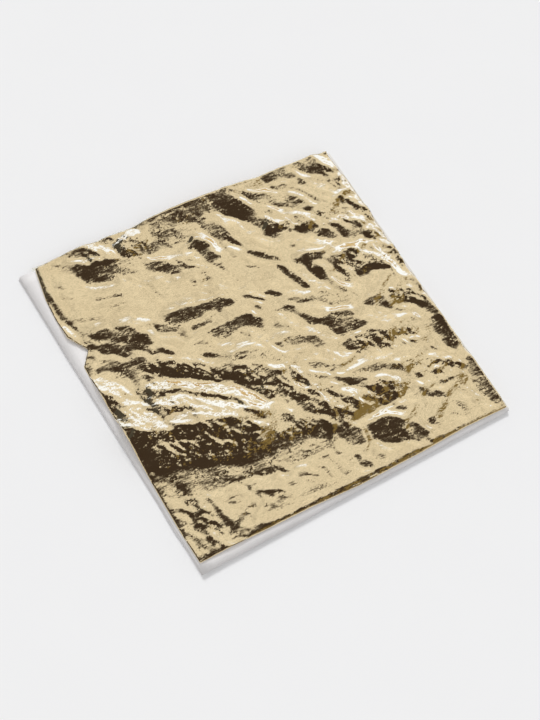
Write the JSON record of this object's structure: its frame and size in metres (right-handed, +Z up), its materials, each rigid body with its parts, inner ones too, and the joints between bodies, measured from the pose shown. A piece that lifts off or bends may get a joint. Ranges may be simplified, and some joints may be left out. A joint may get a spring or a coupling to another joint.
{
  "type": "gold leaf booklet",
  "caption": "Square booklet of thin metal leaves lying loose between tissue pages glued along one edge, with the crumpled top leaf exposed.",
  "frame": {"origin": "middle of the underside of the backing sheet, halfway along the pages' width and depth", "axes": "+Z up through the sheets, +X towards the glued spine, -Y towards the front edge"},
  "size_m": [0.1477, 0.1425, 0.0056],
  "materials": {
    "tissue_paper": "thin matt tissue, slightly translucent",
    "backing_paper": "smooth white paper",
    "gold_leaf": "bright mirror-like leaf with fine crinkles",
    "padding_glue": "thin dried white glue film"
  },
  "bodies": {
    "block": {"backing_sheet": "backing_paper", "spine_glue": "padding_glue"},
    "page_01": {"tissue_01": "tissue_paper"},
    "page_02": {"tissue_02": "tissue_paper", "leaf_02": "gold_leaf"},
    "page_03": {"tissue_03": "tissue_paper", "leaf_03": "gold_leaf"},
    "page_04": {"tissue_04": "tissue_paper", "leaf_04": "gold_leaf"},
    "page_05": {"tissue_05": "tissue_paper", "leaf_05": "gold_leaf"},
    "page_06": {"tissue_06": "tissue_paper", "leaf_06": "gold_leaf"},
    "page_07": {"tissue_07": "tissue_paper", "leaf_07": "gold_leaf"},
    "page_08": {"tissue_08": "tissue_paper", "leaf_08": "gold_leaf"},
    "page_09": {"tissue_09": "tissue_paper", "leaf_09": "gold_leaf"},
    "page_10": {"tissue_10": "tissue_paper", "leaf_10": "gold_leaf"},
    "page_11": {"tissue_11": "tissue_paper", "leaf_11": "gold_leaf"},
    "page_12": {"tissue_12": "tissue_paper", "leaf_12": "gold_leaf"},
    "page_13": {"tissue_13": "tissue_paper", "leaf_13": "gold_leaf"},
    "page_14": {"tissue_14": "tissue_paper", "leaf_14": "gold_leaf"},
    "page_15": {"tissue_15": "tissue_paper", "leaf_15": "gold_leaf"},
    "page_16": {"tissue_16": "tissue_paper", "leaf_16": "gold_leaf"},
    "page_17": {"tissue_17": "tissue_paper", "leaf_17": "gold_leaf"},
    "page_18": {"tissue_18": "tissue_paper", "leaf_18": "gold_leaf"},
    "page_19": {"tissue_19": "tissue_paper", "leaf_19": "gold_leaf"},
    "page_20": {"tissue_20": "tissue_paper", "leaf_20": "gold_leaf"},
    "page_21": {"tissue_21": "tissue_paper", "leaf_21": "gold_leaf"},
    "page_22": {"tissue_22": "tissue_paper", "leaf_22": "gold_leaf"},
    "page_23": {"tissue_23": "tissue_paper", "leaf_23": "gold_leaf"},
    "page_24": {"tissue_24": "tissue_paper", "leaf_24": "gold_leaf"},
    "page_25": {"tissue_25": "tissue_paper", "leaf_25": "gold_leaf"},
    "exposed_leaf": {"leaf_01": "gold_leaf"}
  },
  "joints": [
    {"name": "page_turn_01", "type": "hinge", "parent": "block", "child": "page_01", "pos_m": [0.0715, 0, 0.00173], "axis": [0, 1, 0], "range_deg": [0, 175]},
    {"name": "page_turn_02", "type": "hinge", "parent": "block", "child": "page_02", "pos_m": [0.0715, 0, 0.00173], "axis": [0, 1, 0], "range_deg": [0, 168]},
    {"name": "page_turn_03", "type": "hinge", "parent": "block", "child": "page_03", "pos_m": [0.0715, 0, 0.00173], "axis": [0, 1, 0], "range_deg": [0, 161]},
    {"name": "page_turn_04", "type": "hinge", "parent": "block", "child": "page_04", "pos_m": [0.0715, 0, 0.00173], "axis": [0, 1, 0], "range_deg": [0, 154]},
    {"name": "page_turn_05", "type": "hinge", "parent": "block", "child": "page_05", "pos_m": [0.0715, 0, 0.00173], "axis": [0, 1, 0], "range_deg": [0, 147]},
    {"name": "page_turn_06", "type": "hinge", "parent": "block", "child": "page_06", "pos_m": [0.0715, 0, 0.00173], "axis": [0, 1, 0], "range_deg": [0, 140]},
    {"name": "page_turn_07", "type": "hinge", "parent": "block", "child": "page_07", "pos_m": [0.0715, 0, 0.00173], "axis": [0, 1, 0], "range_deg": [0, 133]},
    {"name": "page_turn_08", "type": "hinge", "parent": "block", "child": "page_08", "pos_m": [0.0715, 0, 0.00173], "axis": [0, 1, 0], "range_deg": [0, 126]},
    {"name": "page_turn_09", "type": "hinge", "parent": "block", "child": "page_09", "pos_m": [0.0715, 0, 0.00173], "axis": [0, 1, 0], "range_deg": [0, 119]},
    {"name": "page_turn_10", "type": "hinge", "parent": "block", "child": "page_10", "pos_m": [0.0715, 0, 0.00173], "axis": [0, 1, 0], "range_deg": [0, 112]},
    {"name": "page_turn_11", "type": "hinge", "parent": "block", "child": "page_11", "pos_m": [0.0715, 0, 0.00173], "axis": [0, 1, 0], "range_deg": [0, 105]},
    {"name": "page_turn_12", "type": "hinge", "parent": "block", "child": "page_12", "pos_m": [0.0715, 0, 0.00173], "axis": [0, 1, 0], "range_deg": [0, 98]},
    {"name": "page_turn_13", "type": "hinge", "parent": "block", "child": "page_13", "pos_m": [0.0715, 0, 0.00173], "axis": [0, 1, 0], "range_deg": [0, 91]},
    {"name": "page_turn_14", "type": "hinge", "parent": "block", "child": "page_14", "pos_m": [0.0715, 0, 0.00173], "axis": [0, 1, 0], "range_deg": [0, 84]},
    {"name": "page_turn_15", "type": "hinge", "parent": "block", "child": "page_15", "pos_m": [0.0715, 0, 0.00173], "axis": [0, 1, 0], "range_deg": [0, 77]},
    {"name": "page_turn_16", "type": "hinge", "parent": "block", "child": "page_16", "pos_m": [0.0715, 0, 0.00173], "axis": [0, 1, 0], "range_deg": [0, 70]},
    {"name": "page_turn_17", "type": "hinge", "parent": "block", "child": "page_17", "pos_m": [0.0715, 0, 0.00173], "axis": [0, 1, 0], "range_deg": [0, 63]},
    {"name": "page_turn_18", "type": "hinge", "parent": "block", "child": "page_18", "pos_m": [0.0715, 0, 0.00173], "axis": [0, 1, 0], "range_deg": [0, 56]},
    {"name": "page_turn_19", "type": "hinge", "parent": "block", "child": "page_19", "pos_m": [0.0715, 0, 0.00173], "axis": [0, 1, 0], "range_deg": [0, 49]},
    {"name": "page_turn_20", "type": "hinge", "parent": "block", "child": "page_20", "pos_m": [0.0715, 0, 0.00173], "axis": [0, 1, 0], "range_deg": [0, 42]},
    {"name": "page_turn_21", "type": "hinge", "parent": "block", "child": "page_21", "pos_m": [0.0715, 0, 0.00173], "axis": [0, 1, 0], "range_deg": [0, 35]},
    {"name": "page_turn_22", "type": "hinge", "parent": "block", "child": "page_22", "pos_m": [0.0715, 0, 0.00173], "axis": [0, 1, 0], "range_deg": [0, 28]},
    {"name": "page_turn_23", "type": "hinge", "parent": "block", "child": "page_23", "pos_m": [0.0715, 0, 0.00173], "axis": [0, 1, 0], "range_deg": [0, 21]},
    {"name": "page_turn_24", "type": "hinge", "parent": "block", "child": "page_24", "pos_m": [0.0715, 0, 0.00173], "axis": [0, 1, 0], "range_deg": [0, 14]},
    {"name": "page_turn_25", "type": "hinge", "parent": "block", "child": "page_25", "pos_m": [0.0715, 0, 0.00173], "axis": [0, 1, 0], "range_deg": [0, 7]},
    {"name": "leaf_slide", "type": "slide", "parent": "page_01", "child": "exposed_leaf", "axis": [-1, 0, 0], "range_m": [0, 0.09]}
  ],
  "couplings": [
    {"joint": "page_turn_02", "follows": "page_turn_01", "ratio": 0.96},
    {"joint": "page_turn_03", "follows": "page_turn_01", "ratio": 0.92},
    {"joint": "page_turn_04", "follows": "page_turn_01", "ratio": 0.88},
    {"joint": "page_turn_05", "follows": "page_turn_01", "ratio": 0.84},
    {"joint": "page_turn_06", "follows": "page_turn_01", "ratio": 0.8},
    {"joint": "page_turn_07", "follows": "page_turn_01", "ratio": 0.76},
    {"joint": "page_turn_08", "follows": "page_turn_01", "ratio": 0.72},
    {"joint": "page_turn_09", "follows": "page_turn_01", "ratio": 0.68},
    {"joint": "page_turn_10", "follows": "page_turn_01", "ratio": 0.64},
    {"joint": "page_turn_11", "follows": "page_turn_01", "ratio": 0.6},
    {"joint": "page_turn_12", "follows": "page_turn_01", "ratio": 0.56},
    {"joint": "page_turn_13", "follows": "page_turn_01", "ratio": 0.52},
    {"joint": "page_turn_14", "follows": "page_turn_01", "ratio": 0.48},
    {"joint": "page_turn_15", "follows": "page_turn_01", "ratio": 0.44},
    {"joint": "page_turn_16", "follows": "page_turn_01", "ratio": 0.4},
    {"joint": "page_turn_17", "follows": "page_turn_01", "ratio": 0.36},
    {"joint": "page_turn_18", "follows": "page_turn_01", "ratio": 0.32},
    {"joint": "page_turn_19", "follows": "page_turn_01", "ratio": 0.28},
    {"joint": "page_turn_20", "follows": "page_turn_01", "ratio": 0.24},
    {"joint": "page_turn_21", "follows": "page_turn_01", "ratio": 0.2},
    {"joint": "page_turn_22", "follows": "page_turn_01", "ratio": 0.16},
    {"joint": "page_turn_23", "follows": "page_turn_01", "ratio": 0.12},
    {"joint": "page_turn_24", "follows": "page_turn_01", "ratio": 0.08},
    {"joint": "page_turn_25", "follows": "page_turn_01", "ratio": 0.04}
  ]
}
